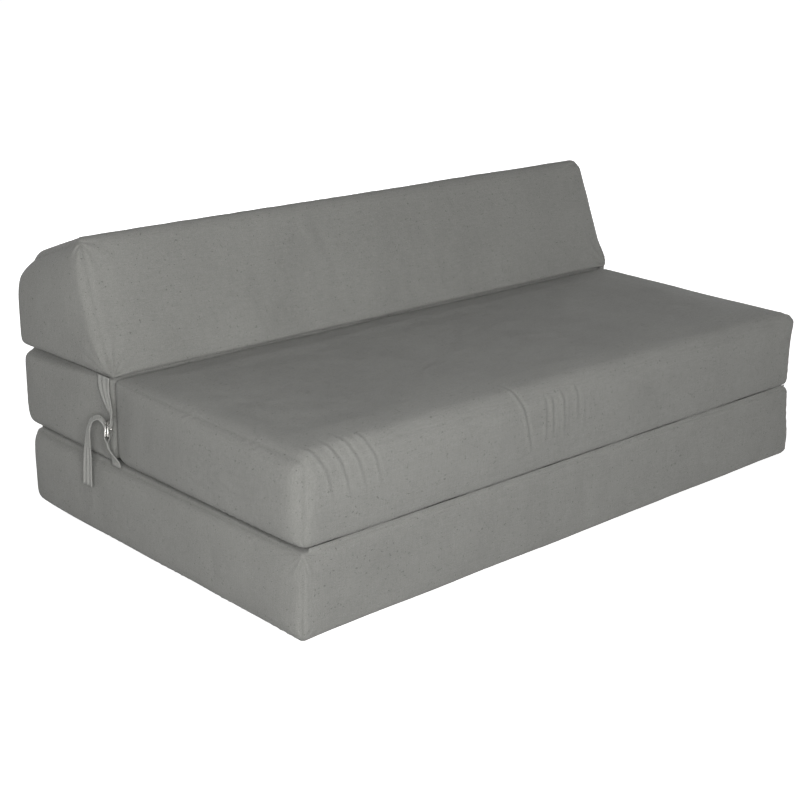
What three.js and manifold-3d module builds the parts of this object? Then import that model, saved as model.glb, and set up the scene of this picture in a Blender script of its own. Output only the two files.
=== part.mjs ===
// Futon sofa bed: four foam blocks in zipped fabric covers, joined by fabric hinges.
// Millimetres. +X runs along the sofa, -Y is the front, +Z is up.
// The origin is on the floor, under the middle of the base.
import * as THREE from 'three';
import { mergeVertices } from 'three/addons/utils/BufferGeometryUtils.js';
import Module from 'manifold-3d';

const wasm = await Module();
wasm.setup();

// Driving dimensions.
const WIDTH = 1360;             // of every block, end to end
const DEPTH = 790;              // of the base, front to rear
const BLOCK = 155;              // thickness of the base, seat and riser
const STACK_GAP = 3;            // between one block and the block that lies on it
const REAR_BLOCK_DEPTH = 266;   // of the riser and of the backrest's underside
const SEAT_RISER_GAP = 8;
const BACK_RISE = 240;          // from the backrest's underside to its top front edge
const BACK_REAR_RISE = 166;     // from the backrest's underside to its top rear edge
const BACK_LEAN = 84;           // how far the backrest's top front edge lies behind its foot
const EDGE_RADIUS = 14;
const SEAT_NOSE_RADIUS = 36;
const BACK_TOP_RADIUS = 24;
const BACK_REAR_RADIUS = 55;
const END_RADIUS = 12;          // where a block's long faces turn into its end panels
const COVER = 1.5;              // cover fabric
const FOAM_CLEARANCE = 0.4;     // between the cover and its foam

const FRONT = -DEPTH / 2;
const REAR = DEPTH / 2;
const SEAT_BASE = BLOCK + STACK_GAP;
const BACK_BASE = SEAT_BASE + BLOCK + STACK_GAP;
const RISER_FRONT = REAR - REAR_BLOCK_DEPTH;
const SEAT_REAR = RISER_FRONT - SEAT_RISER_GAP;
const SIDE = WIDTH / 2;

// A block's outline in its own YZ plane, anticlockwise: [y, z, corner radius].
// Its rear face is at y = 0 and its underside at z = 0.
const rectangle = (depth, noseRadius = EDGE_RADIUS) => [
  [-depth, 0, EDGE_RADIUS],
  [0, 0, EDGE_RADIUS],
  [0, BLOCK, EDGE_RADIUS],
  [-depth, BLOCK, noseRadius],
];
const wedge = [
  [-REAR_BLOCK_DEPTH, 0, EDGE_RADIUS],
  [0, 0, EDGE_RADIUS],
  [0, BACK_REAR_RISE, BACK_REAR_RADIUS],
  [BACK_LEAN - REAR_BLOCK_DEPTH, BACK_RISE, BACK_TOP_RADIUS],
];
// rear and bottom place the block, and zip is the height of its zip above its underside.
const BLOCKS = {
  base: { outline: rectangle(DEPTH), rear: REAR, bottom: 0, zip: 45 },
  seat: {
    outline: rectangle(SEAT_REAR - FRONT, SEAT_NOSE_RADIUS),
    rear: SEAT_REAR,
    bottom: SEAT_BASE,
    zip: 70,
  },
  riser: { outline: rectangle(REAR_BLOCK_DEPTH), rear: REAR, bottom: SEAT_BASE, zip: 45 },
  back: { outline: wedge, rear: REAR, bottom: BACK_BASE, zip: 45 },
};

// Zips, each along the rear face of its block.
const ZIP_LENGTH = 1240;
const ZIP_TAPE = 21.4;          // tape height
const ZIP_TAPE_THICK = 1.2;
const ZIP_TAPE_INSET = 0.1;     // of the tape's face from the cover's
const ZIP_TEETH = 6;            // height of the row of teeth
const ZIP_PROUD = 0.8;          // how far the teeth stand proud of the cover
const ZIP_CLEARANCE = 0.3;

// Zip slider: a plate on two side walls, and a bridge that holds the pull. The heights are
// out from the cover's rear face.
const SLIDER_X = 590;
const SLIDER_LENGTH = 14;
const SLIDER_WIDTH = 9.6;
const SLIDER_WALL = 1.4;
const SLIDER_FOOT = 0.3;
const PLATE_LOW = 1.1;
const PLATE_HIGH = 2.3;
const BRIDGE_LENGTH = 8;
const BRIDGE_LEG = 1;
const BRIDGE_LOW = 3.9;
const BRIDGE_HIGH = 4.8;
const BRIDGE_WIDTH = 2;

// Zip pull: a flat tapering tab with an eye. It turns about the bar at its root.
const PULL_LENGTH = 24;
const PULL_THICK = 0.9;
const PULL_AXIS_OUT = 3.1;      // of the bar from the cover's rear face
const PULL_ROOT = 0.5;          // beyond the bar
const PULL_ROOT_HALF = 3.2;
const PULL_TIP_RADIUS = 2.2;
const PULL_EYE = { near: -0.6, far: -6, half: 1.5 };

// Fabric hinges: a strip sewn across the seam between two blocks.
const STRIP_LENGTH = 1330;
const STRIP_HEIGHT = 31;
const STRIP_BULGE = 3.2;
const STRIP_THICK = 1.2;
const STRIP_CLEARANCE = 0.4;
const STRIP_INNER_SHARE = 0.98; // of the outer face's arc that the inner face takes up

// Buckle at each end of the sofa: two D-rings on a folded tab.
const BUCKLE_OUT = 18;          // of the buckle's middle from the end panels
const BUCKLE_Y = 112;
const BUCKLE_TURN = THREE.MathUtils.degToRad(44);   // of the D-rings about the vertical
const RING_WIRE = 3;
const RING_BAR_HALF = 13;
const RING_HALF_WIDTH = 16.5;
const RING_HEIGHT = 24;
const RING_SPACING = 4.6;
const RING_BAR_Z = 221;
const ARCH_START = 12;          // degrees above the bar
const ARCH_STEPS = 8;
const TAB_WIDTH = 26;
const TAB_PLY = 1.2;
const TAB_FOOT_OUT = 2.2;       // of the tab's foot from the end panels
const TAB_FOOT = BLOCK + 1;
const TAB_NECK = RING_BAR_Z - 14;           // where its two plies part round the rings' bars
const TAB_SHOULDER = TAB_NECK + 7;
const TAB_LEG_STEPS = 7;
const EYE_HALF = RING_SPACING / 2 + RING_WIRE / 2 + 0.5;
const EYE_WALL = 1;
const EYE_FOOT = TAB_NECK + 2;
const EYE_TOP = RING_BAR_Z + 1.9;
const EYE_CHAMFER = 1;
const CROWN_RADIUS = 3;         // of the fold over the bars

// Tie strap at each end.
const STRAP_THICK = 1.8;
// The strap's middle line, from the backrest down to the buckle, through it and down to
// the free end: [out from the end panel, y, z, turn of its width about the vertical, width].
const STRAP_ROUTE = [
  [2, 146, 317, 0, 36],
  [2.6, 145, 295, 0, 34],
  [5.5, 133, 276, 4, 32],
  [10, 117, 262, 14, 28],
  [11.6, 110, 250, 38, 24],
  [13.1, 108.7, 240, 44, 21],
  [14.8, 109.6, 234.5, 44, 20],
  [18, 112, 231.5, 44, 20],
  [21, 114.9, 234.5, 44, 20],
  [23, 117, 241, 44, 21],
  [27, 127, 249, 40, 24],
  [32, 140, 243, 32, 27],
  [34, 149, 222, 24, 28],
  [33, 157, 170, 4, 29],
  [30, 165, 112, 0, 30],
];

// Finishes. Every mesh gets a material of its own from one of these.
const COTTON = { color: 0x85847f, roughness: 0.92, metalness: 0 };
const WEBBING = { color: 0x8e8d87, roughness: 0.92, metalness: 0 };
const FOAM = { color: 0xe9e4d2, roughness: 0.95, metalness: 0 };
const ZIP_COTTON = { color: 0x6d6d69, roughness: 0.9, metalness: 0 };
const NICKEL = { color: 0xb9b7b1, roughness: 0.28, metalness: 1 };

function add(group, name, geometry, finish) {
  const mesh = new THREE.Mesh(geometry, new THREE.MeshStandardMaterial(finish));
  mesh.name = name;
  group.add(mesh);
  return mesh;
}

function addGroup(parent, x, y, z) {
  const group = new THREE.Group();
  group.position.set(x, y, z);
  parent.add(group);
  return group;
}

function weld(geometry) {
  geometry.deleteAttribute('normal');
  geometry.deleteAttribute('uv');
  return mergeVertices(geometry, 1e-4);
}

function solid(geometry) {
  const welded = weld(geometry);
  return new wasm.Manifold(new wasm.Mesh({
    numProp: 3,
    vertProperties: new Float32Array(welded.attributes.position.array),
    triVerts: new Uint32Array(welded.index.array),
  }));
}

function geometryOf(body) {
  const mesh = body.getMesh();
  const geometry = new THREE.BufferGeometry();
  geometry.setAttribute('position', new THREE.BufferAttribute(mesh.vertProperties, 3));
  geometry.setIndex(new THREE.BufferAttribute(mesh.triVerts, 1));
  return geometry;
}

// A box centred on x and z, and from low to high out from a rear face.
function slab(length, low, high, height, x = 0, z = 0) {
  return solid(new THREE.BoxGeometry(length, high - low, height).translate(x, (low + high) / 2, z));
}

// Turns a shape drawn in (y, z) and extruded along its own z so that it lies along X.
function alongX(geometry) {
  const basis = new THREE.Matrix4().makeBasis(
    new THREE.Vector3(0, 1, 0),
    new THREE.Vector3(0, 0, 1),
    new THREE.Vector3(1, 0, 0),
  );
  return geometry.applyMatrix4(basis);
}

// A convex outline with every edge moved in by inset and every corner rounded by an arc.
function roundedShape(outline, inset) {
  const shape = new THREE.Shape();
  outline.forEach(([y, z, radius], i) => {
    const corner = new THREE.Vector2(y, z);
    const before = outline[(i + outline.length - 1) % outline.length];
    const after = outline[(i + 1) % outline.length];
    const toBefore = new THREE.Vector2(before[0], before[1]).sub(corner).normalize();
    const toAfter = new THREE.Vector2(after[0], after[1]).sub(corner).normalize();
    const halfAngle = Math.acos(toBefore.dot(toAfter)) / 2;
    const centre = toBefore.clone().add(toAfter).normalize()
      .multiplyScalar(radius / Math.sin(halfAngle)).add(corner);
    const start = Math.atan2(-toBefore.x, toBefore.y);
    const sweep = Math.PI - 2 * halfAngle;
    shape.absarc(centre.x, centre.y, radius - inset, start - Math.PI, start - Math.PI + sweep, false);
  });
  return shape;
}

// A block of the sofa's width, with rounded long edges and rounded ends.
function blockGeometry(outline, inset) {
  const bevel = END_RADIUS - inset;
  const middle = WIDTH - 2 * END_RADIUS;
  const geometry = new THREE.ExtrudeGeometry(roundedShape(outline, inset), {
    depth: middle,
    steps: 1,
    curveSegments: 3,
    bevelThickness: bevel,
    bevelSize: bevel,
    bevelOffset: -bevel,
    bevelSegments: 2,
  });
  return alongX(geometry.translate(0, 0, -middle / 2));
}

function coverGeometry(outline, zip) {
  const skin = solid(blockGeometry(outline, 0)).subtract(solid(blockGeometry(outline, COVER)));
  const opening = slab(ZIP_LENGTH, -2 * COVER, 2 * COVER, ZIP_TAPE + 2 * ZIP_CLEARANCE, 0, zip);
  return geometryOf(skin.subtract(opening));
}

// Zip tape with its row of teeth, drawn as one outline and extruded along X.
function zipTapeGeometry() {
  const outer = -ZIP_TAPE_INSET;
  const inner = outer - ZIP_TAPE_THICK;
  const half = ZIP_TAPE / 2;
  const teeth = ZIP_TEETH / 2;
  const shape = new THREE.Shape();
  shape.moveTo(inner, -half);
  shape.lineTo(outer, -half);
  shape.lineTo(outer, -teeth);
  shape.lineTo(ZIP_PROUD, -teeth);
  shape.lineTo(ZIP_PROUD, teeth);
  shape.lineTo(outer, teeth);
  shape.lineTo(outer, half);
  shape.lineTo(inner, half);
  const length = ZIP_LENGTH - 2 * ZIP_CLEARANCE;
  const geometry = new THREE.ExtrudeGeometry(shape, { depth: length, bevelEnabled: false });
  return alongX(geometry.translate(0, 0, -length / 2));
}

function sliderGeometry() {
  let body = slab(SLIDER_LENGTH, PLATE_LOW, PLATE_HIGH, SLIDER_WIDTH);
  for (const side of [-1, 1]) {
    const wallZ = (side * (SLIDER_WIDTH - SLIDER_WALL)) / 2;
    const legX = (side * (BRIDGE_LENGTH - BRIDGE_LEG)) / 2;
    body = body.add(slab(SLIDER_LENGTH, SLIDER_FOOT, PLATE_HIGH, SLIDER_WALL, 0, wallZ));
    body = body.add(slab(BRIDGE_LEG, PLATE_LOW, BRIDGE_HIGH, BRIDGE_WIDTH, legX));
  }
  return geometryOf(body.add(slab(BRIDGE_LENGTH, BRIDGE_LOW, BRIDGE_HIGH, BRIDGE_WIDTH)));
}

// The pull lies in its own XY plane, with its bar along Y at the origin.
function pullGeometry() {
  const tipX = PULL_TIP_RADIUS - PULL_LENGTH;
  const shape = new THREE.Shape();
  shape.moveTo(PULL_ROOT, -PULL_ROOT_HALF);
  shape.lineTo(PULL_ROOT, PULL_ROOT_HALF);
  shape.lineTo(tipX, PULL_TIP_RADIUS);
  shape.absarc(tipX, 0, PULL_TIP_RADIUS, Math.PI / 2, (3 * Math.PI) / 2, false);
  const eye = new THREE.Path();
  eye.moveTo(PULL_EYE.near, -PULL_EYE.half);
  eye.lineTo(PULL_EYE.far, -PULL_EYE.half);
  eye.lineTo(PULL_EYE.far, PULL_EYE.half);
  eye.lineTo(PULL_EYE.near, PULL_EYE.half);
  shape.holes.push(eye);
  const geometry = new THREE.ExtrudeGeometry(shape, {
    depth: PULL_THICK,
    bevelEnabled: false,
    curveSegments: 6,
  });
  return geometry.translate(0, 0, -PULL_THICK / 2);
}

// A strip that arches over a seam at the origin: facing is -1 to the front and 1 to the rear.
function stripGeometry(facing) {
  const half = STRIP_HEIGHT / 2;
  const radius = (half * half + STRIP_BULGE * STRIP_BULGE) / (2 * STRIP_BULGE);
  const outer = Math.asin(half / radius);
  const inner = outer * STRIP_INNER_SHARE;
  const foot = facing * (STRIP_CLEARANCE + STRIP_THICK);
  const centre = foot - facing * (radius - STRIP_BULGE);
  const middle = facing > 0 ? 0 : Math.PI;
  const shape = new THREE.Shape();
  shape.absarc(centre, 0, radius, middle - outer, middle + outer, false);
  shape.absarc(centre, 0, radius - STRIP_THICK, middle + inner, middle - inner, true);
  const geometry = new THREE.ExtrudeGeometry(shape, {
    depth: STRIP_LENGTH,
    bevelEnabled: false,
    curveSegments: 6,
  });
  return alongX(geometry.translate(0, 0, -STRIP_LENGTH / 2));
}

// A D-ring in the YZ plane: a straight bar along Y at the bottom and an arch above it.
function ringGeometry() {
  const points = [[-RING_BAR_HALF, 0], [0, 0], [RING_BAR_HALF, 0]];
  for (let i = 0; i <= ARCH_STEPS; i += 1) {
    const degrees = ARCH_START + ((180 - 2 * ARCH_START) * i) / ARCH_STEPS;
    const angle = THREE.MathUtils.degToRad(degrees);
    points.push([RING_HALF_WIDTH * Math.cos(angle), RING_HEIGHT * Math.sin(angle)]);
  }
  const curve = new THREE.CatmullRomCurve3(points.map(([y, z]) => new THREE.Vector3(0, y, z)), true);
  return weld(new THREE.TubeGeometry(curve, 28, RING_WIRE / 2, 6, true));
}

function flipped(geometry) {
  const index = geometry.index.array;
  for (let i = 0; i < index.length; i += 3) {
    const first = index[i];
    index[i] = index[i + 1];
    index[i + 1] = first;
  }
  return geometry;
}

// Moves every vertex of a geometry by place. side is -1 at the left end and 1 at the right end,
// where the moves mirror the geometry and so its faces are turned over.
function bent(geometry, side, place) {
  const welded = weld(geometry);
  const position = welded.attributes.position;
  const vertex = new THREE.Vector3();
  for (let i = 0; i < position.count; i += 1) {
    vertex.fromBufferAttribute(position, i);
    const moved = place(vertex);
    position.setXYZ(i, moved.x, moved.y, moved.z);
  }
  return side > 0 ? flipped(welded) : welded;
}

// The value at share t along a list of evenly spaced values.
function between(values, t) {
  const i = Math.min(Math.floor(t * (values.length - 1)), values.length - 2);
  return THREE.MathUtils.lerp(values[i], values[i + 1], t * (values.length - 1) - i);
}

// The strap: a long thin box bent along its route, with x measured from the end panel.
function strapGeometry(side) {
  const turns = STRAP_ROUTE.map(([, , , turn]) => THREE.MathUtils.degToRad(turn));
  const widths = STRAP_ROUTE.map(([, , , , width]) => width);
  const line = new THREE.CatmullRomCurve3(
    STRAP_ROUTE.map(([out, y, z]) => new THREE.Vector3(out, y, z)), false, 'centripetal');
  const steps = 3 * (STRAP_ROUTE.length - 1);
  const place = ({ x, y, z }) => {
    const t = THREE.MathUtils.clamp(z + 0.5, 0, 1);
    const turn = between(turns, t);
    const width = new THREE.Vector3(-Math.sin(turn), Math.cos(turn), 0);
    const normal = line.getTangent(t).cross(width).normalize();
    const point = line.getPoint(t)
      .addScaledVector(width, y * between(widths, t))
      .addScaledVector(normal, x * STRAP_THICK);
    return new THREE.Vector3(side * point.x, point.y, point.z);
  };
  return bent(new THREE.BoxGeometry(1, 1, 1, 1, 2, steps), side, place);
}

// The tab's section: two plies up from the foot, parting round the rings' bars.
function tabShape() {
  const shape = new THREE.Shape();
  const legHeight = (i) => TAB_FOOT + ((TAB_NECK - TAB_FOOT) * i) / TAB_LEG_STEPS;
  const outerHalf = EYE_HALF + EYE_WALL;
  shape.moveTo(-TAB_PLY, TAB_FOOT);
  for (let i = 0; i <= TAB_LEG_STEPS; i += 1) {
    shape.lineTo(TAB_PLY, legHeight(i));
  }
  shape.lineTo(outerHalf, TAB_SHOULDER);
  shape.absarc(outerHalf - CROWN_RADIUS, RING_BAR_Z, CROWN_RADIUS, 0, Math.PI / 2, false);
  shape.absarc(CROWN_RADIUS - outerHalf, RING_BAR_Z, CROWN_RADIUS, Math.PI / 2, Math.PI, false);
  shape.lineTo(-outerHalf, TAB_SHOULDER);
  for (let i = TAB_LEG_STEPS; i > 0; i -= 1) {
    shape.lineTo(-TAB_PLY, legHeight(i));
  }
  shape.holes.push(tabEye());
  return shape;
}

function tabEye() {
  const wallFoot = TAB_SHOULDER + 0.5;
  const wallTop = EYE_TOP - 1.1 * EYE_CHAMFER;
  const eye = new THREE.Path();
  eye.moveTo(0, EYE_FOOT);
  eye.lineTo(-EYE_HALF, wallFoot);
  eye.lineTo(-EYE_HALF, wallTop);
  eye.lineTo(EYE_CHAMFER - EYE_HALF, EYE_TOP);
  eye.lineTo(EYE_HALF - EYE_CHAMFER, EYE_TOP);
  eye.lineTo(EYE_HALF, wallTop);
  eye.lineTo(EYE_HALF, wallFoot);
  return eye;
}

// The tab: flat against the end panel at its foot, and out and turned like the rings above.
function tabGeometry(side) {
  const geometry = new THREE.ExtrudeGeometry(tabShape(), {
    depth: TAB_WIDTH,
    steps: 2,
    bevelEnabled: false,
    curveSegments: 3,
  });
  geometry.translate(0, 0, -TAB_WIDTH / 2);
  return bent(geometry, side, ({ x, y, z }) => {
    const t = THREE.MathUtils.smoothstep(y, TAB_FOOT, TAB_NECK);
    const turn = BUCKLE_TURN * t;
    const out = THREE.MathUtils.lerp(TAB_FOOT_OUT, BUCKLE_OUT, t);
    const outward = out + x * Math.cos(turn) - z * Math.sin(turn);
    const rearward = BUCKLE_Y + x * Math.sin(turn) + z * Math.cos(turn);
    return new THREE.Vector3(side * outward, rearward, y);
  });
}

function addBlock(sofa, name, { outline, rear, bottom, zip }) {
  const block = addGroup(sofa, 0, rear, bottom);
  add(block, `${name}_cover`, coverGeometry(outline, zip), COTTON);
  add(block, `${name}_foam_core`, blockGeometry(outline, COVER + FOAM_CLEARANCE), FOAM);
  const zipper = addGroup(block, 0, 0, zip);
  add(zipper, `${name}_zip_tape`, zipTapeGeometry(), ZIP_COTTON);
  const slider = add(zipper, `${name}_zip_slider`, sliderGeometry(), NICKEL);
  slider.position.x = SLIDER_X;
  const pull = add(zipper, `${name}_zip_pull`, pullGeometry(), NICKEL);
  pull.position.set(SLIDER_X, PULL_AXIS_OUT, 0);
  pull.rotation.x = Math.PI / 2;
}

function addStrip(sofa, name, face, seam, facing) {
  const strip = add(sofa, name, stripGeometry(facing), COTTON);
  strip.position.set(0, face, seam);
}

// The strap, tab and rings of one end, mirrored between the ends.
function addEnd(sofa, name, side) {
  const end = addGroup(sofa, side * SIDE, 0, 0);
  add(end, `tie_strap_${name}`, strapGeometry(side), WEBBING);
  add(end, `buckle_tab_${name}`, tabGeometry(side), WEBBING);
  const buckle = addGroup(end, side * BUCKLE_OUT, BUCKLE_Y, RING_BAR_Z);
  buckle.rotation.z = side * BUCKLE_TURN;
  for (const [slot, away] of [['inner', -1], ['outer', 1]]) {
    const ring = add(buckle, `d_ring_${slot}_${name}`, ringGeometry(), NICKEL);
    ring.position.x = (side * away * RING_SPACING) / 2;
  }
}

const sofa = new THREE.Group();
for (const [name, block] of Object.entries(BLOCKS)) {
  addBlock(sofa, name, block);
}
addStrip(sofa, 'front_hinge_strip', FRONT, SEAT_BASE - STACK_GAP / 2, -1);
addStrip(sofa, 'rear_hinge_strip', REAR, SEAT_BASE - STACK_GAP / 2, 1);
addStrip(sofa, 'back_hinge_strip', RISER_FRONT, BACK_BASE - STACK_GAP / 2, -1);
addEnd(sofa, 'left', -1);
addEnd(sofa, 'right', 1);

export default sofa;
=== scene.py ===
# Futon sofa bed: padded fabric blocks, tie straps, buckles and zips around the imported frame.
import math

import bmesh
import bpy
import numpy as np
from mathutils import Euler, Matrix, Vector, noise


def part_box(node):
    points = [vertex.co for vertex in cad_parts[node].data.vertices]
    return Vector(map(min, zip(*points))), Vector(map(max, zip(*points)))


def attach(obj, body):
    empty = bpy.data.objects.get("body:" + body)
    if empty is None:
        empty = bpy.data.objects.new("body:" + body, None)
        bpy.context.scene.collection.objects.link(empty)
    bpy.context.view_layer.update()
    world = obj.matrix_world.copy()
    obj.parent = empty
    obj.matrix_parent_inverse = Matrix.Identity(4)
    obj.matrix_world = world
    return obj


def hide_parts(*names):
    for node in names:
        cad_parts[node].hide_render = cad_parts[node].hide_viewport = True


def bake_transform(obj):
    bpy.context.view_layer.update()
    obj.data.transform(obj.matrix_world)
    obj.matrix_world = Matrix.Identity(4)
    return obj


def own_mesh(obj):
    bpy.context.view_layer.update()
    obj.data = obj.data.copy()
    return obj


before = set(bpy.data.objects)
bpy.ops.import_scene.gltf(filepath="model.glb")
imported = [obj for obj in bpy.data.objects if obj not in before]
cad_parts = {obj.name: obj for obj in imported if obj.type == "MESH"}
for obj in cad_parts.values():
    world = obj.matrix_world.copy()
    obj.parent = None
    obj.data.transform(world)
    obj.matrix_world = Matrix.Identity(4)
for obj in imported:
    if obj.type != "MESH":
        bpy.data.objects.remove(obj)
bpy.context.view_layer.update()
SCENE = bpy.context.scene

# ---------------------------------------------------------------- camera, floor and light
CAMERA_PLACE = (-2.191, -2.147, 1.187)
CAMERA_YAW = math.radians(-44.36)
CAMERA_PITCH = math.radians(-18.45)
CAMERA_ROLL = math.radians(1.65)
CAMERA_LENS = 72.26


def add_camera():
    data = bpy.data.cameras.new("camera")
    data.lens = CAMERA_LENS
    data.sensor_width = 36
    camera = bpy.data.objects.new("camera", data)
    yaw = Euler((0, 0, CAMERA_YAW)).to_matrix()
    pitch = Euler((math.pi / 2 + CAMERA_PITCH, 0, 0)).to_matrix()
    roll = Euler((0, 0, CAMERA_ROLL)).to_matrix()
    turn = yaw @ pitch @ roll
    camera.matrix_world = turn.to_4x4()
    camera.location = CAMERA_PLACE
    SCENE.collection.objects.link(camera)
    SCENE.camera = camera


def add_light(name, place, target, size, power):
    data = bpy.data.lights.new(name, "AREA")
    data.shape = "RECTANGLE"
    data.size, data.size_y = size
    data.energy = power
    light = bpy.data.objects.new(name, data)
    light.location = place
    light.rotation_euler = (Vector(target) - Vector(place)).to_track_quat("-Z", "Y").to_euler()
    SCENE.collection.objects.link(light)


# The floor's profile, as (distance out, height).
FLOOR_PROFILE = ((0.01, 0), (24, 0), (27, 0.5), (29, 2.2), (30, 5), (30, 30))
FLOOR_TURNS = 64
FLOOR_DROP = 0.0005             # below the sofa's underside
FLOOR_GLOW = 0.8


def floor_mesh_data():
    angles = [2 * math.pi * i / FLOOR_TURNS for i in range(FLOOR_TURNS)]
    places = [(out * math.cos(a), out * math.sin(a), up) for out, up in FLOOR_PROFILE for a in angles]
    faces = [tuple(range(FLOOR_TURNS))]
    for j in range(len(FLOOR_PROFILE) - 1):
        here, there = j * FLOOR_TURNS, (j + 1) * FLOOR_TURNS
        for i in range(FLOOR_TURNS):
            k = (i + 1) % FLOOR_TURNS
            faces.append((here + i, here + k, there + k, there + i))
    return places, faces


def add_floor():
    """A wide floor that curves up into a backdrop all round. Diffuse rays don't see it, so its
    glow doesn't light the sofa's cloth."""
    places, faces = floor_mesh_data()
    mesh = bpy.data.meshes.new("floor")
    mesh.from_pydata(places, [], faces)
    mesh.shade_smooth()
    floor = bpy.data.objects.new("floor", mesh)
    floor.location.z = -FLOOR_DROP
    floor.visible_diffuse = False
    SCENE.collection.objects.link(floor)
    material, shader = new_material("pale_floor", (0.86, 0.86, 0.86), 0.9)
    shader.inputs["Emission Color"].default_value = (1, 1, 1, 1)
    shader.inputs["Emission Strength"].default_value = FLOOR_GLOW
    mesh.materials.append(material)


def add_stage():
    SCENE.view_settings.view_transform = "Standard"
    world = bpy.data.worlds.new("studio")
    world.use_nodes = True
    background = world.node_tree.nodes["Background"]
    background.inputs["Color"].default_value = (1, 1, 1, 1)
    background.inputs["Strength"].default_value = 0.18
    SCENE.world = world
    add_light("key", (-2.4, -2.4, 1.2), (-0.3, -0.1, 0.25), (1.6, 1.1), 108)
    add_light("fill", (1.4, -3.8, 1.2), (0.1, 0, 0.25), (2.5, 1.4), 18)
    add_light("behind", (0.8, 3.6, 0.6), (0.1, 0.4, 0.2), (3.0, 0.9), 66)
    add_light("right", (3.8, 0.8, 0.5), (0.7, 0.1, 0.2), (2.4, 0.8), 44)
    add_floor()


# ---------------------------------------------------------------- materials
def new_material(name, color, roughness):
    material = bpy.data.materials.new(name)
    material.use_nodes = True
    shader = material.node_tree.nodes["Principled BSDF"]
    shader.inputs["Base Color"].default_value = (*color, 1)
    shader.inputs["Roughness"].default_value = roughness
    return material, shader


class Nodes:
    """Short ways to add and join shader nodes."""

    def __init__(self, material):
        self.tree = material.node_tree
        self.place = self.add("ShaderNodeTexCoord").outputs["Object"]

    def add(self, kind, **settings):
        node = self.tree.nodes.new(kind)
        for key, value in settings.items():
            setattr(node, key, value)
        return node

    def join(self, value, socket):
        if isinstance(value, (int, float)):
            socket.default_value = value
        else:
            self.tree.links.new(value, socket)

    def math(self, operation, a, b=0.0):
        node = self.add("ShaderNodeMath", operation=operation)
        self.join(a, node.inputs[0])
        self.join(b, node.inputs[1])
        return node.outputs[0]

    def noise(self, scale, detail, rough, stretch=(1, 1, 1)):
        mapping = self.add("ShaderNodeMapping")
        mapping.inputs["Scale"].default_value = stretch
        self.join(self.place, mapping.inputs["Vector"])
        node = self.add("ShaderNodeTexNoise")
        node.inputs["Scale"].default_value = scale
        node.inputs["Detail"].default_value = detail
        node.inputs["Roughness"].default_value = rough
        self.join(mapping.outputs["Vector"], node.inputs["Vector"])
        return node.outputs["Fac"]

    def span(self, value, low, high, to_low=0.0, to_high=1.0):
        node = self.add("ShaderNodeMapRange")
        self.join(value, node.inputs["Value"])
        for number, key in zip((low, high, to_low, to_high), ("From Min", "From Max", "To Min", "To Max")):
            node.inputs[key].default_value = number
        return node.outputs["Result"]

    def tint(self, color, factor):
        """color times factor."""
        node = self.add("ShaderNodeVectorMath", operation="SCALE")
        node.inputs[0].default_value = color
        self.join(factor, node.inputs["Scale"])
        return node.outputs["Vector"]

    def bump(self, height, distance, strength, normal=None):
        node = self.add("ShaderNodeBump")
        node.inputs["Distance"].default_value = distance
        node.inputs["Strength"].default_value = strength
        self.join(height, node.inputs["Height"])
        if normal is not None:
            self.join(normal, node.inputs["Normal"])
        return node.outputs["Normal"]


WEAVE_SHADE = 0.025
GRAIN_SHADE = 0.19
FLECK_SHADE = 0.38
# How much painted shade darkens the cover's colour along the end panels' seams.
SEAM_PAINTED_SHADE = 0.10


def cotton(name, color, thread=0.0011):
    """Plain-woven cotton: two thread directions, slubs, dark flecks, soft blotches, and painted shade along
    the end panels' seams.
    """
    material, shader = new_material(name, color, 0.9)
    n = Nodes(material)
    split = n.add("ShaderNodeSeparateXYZ")
    n.join(n.place, split.inputs[0])
    turns = 2 * math.pi / thread
    x, y, z = (n.math("SINE", n.math("MULTIPLY", split.outputs[i], turns)) for i in range(3))
    # On any face two of the three directions run across it, so the weave needs no UVs.
    weave = n.math("ADD", n.math("MULTIPLY", x, z), n.math("MULTIPLY", x, y))
    weave = n.math("ADD", weave, n.math("MULTIPLY", y, z))
    slub = n.math("ADD", n.noise(420, 2.0, 0.6, (0.10, 1.0, 1.0)), n.noise(420, 2.0, 0.6, (1.0, 1.0, 0.10)))
    blotch = n.noise(5.5, 4.0, 0.6)
    grain = n.noise(900, 2.0, 0.6)
    fleck = n.span(n.noise(230, 1.0, 0.4), 0.70, 0.74)
    tone = n.math("ADD", n.span(blotch, 0.3, 0.7, 0.93, 1.06), n.span(slub, 0.7, 1.3, -0.07, 0.07))
    tone = n.math("ADD", tone, n.span(grain, 0.3, 0.7, -GRAIN_SHADE, GRAIN_SHADE))
    tone = n.math("ADD", tone, n.math("MULTIPLY", weave, WEAVE_SHADE))
    # Painted shade: the cover's colour is darkened along the end panels' seams, where their grooves fall in
    # shade.
    painted_seam_shade = n.add("ShaderNodeAttribute", attribute_name="seam").outputs["Fac"]
    tone = n.math("SUBTRACT", tone, n.math("MULTIPLY", painted_seam_shade, SEAM_PAINTED_SHADE))
    tone = n.math("SUBTRACT", tone, n.math("MULTIPLY", fleck, FLECK_SHADE))
    n.join(n.tint(color, tone), shader.inputs["Base Color"])
    shader.inputs["Specular IOR Level"].default_value = 0.22
    shader.inputs["Sheen Weight"].default_value = 0.12
    shader.inputs["Sheen Roughness"].default_value = 0.6
    rumple = n.bump(n.noise(26, 4.0, 0.62, (1, 1, 0.6)), 0.0035, 0.5)
    height = n.math("ADD", n.math("MULTIPLY", weave, 0.3), n.math("MULTIPLY", slub, 1.4))
    n.join(n.bump(height, 0.0006, 0.6, rumple), shader.inputs["Normal"])
    return material


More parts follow.
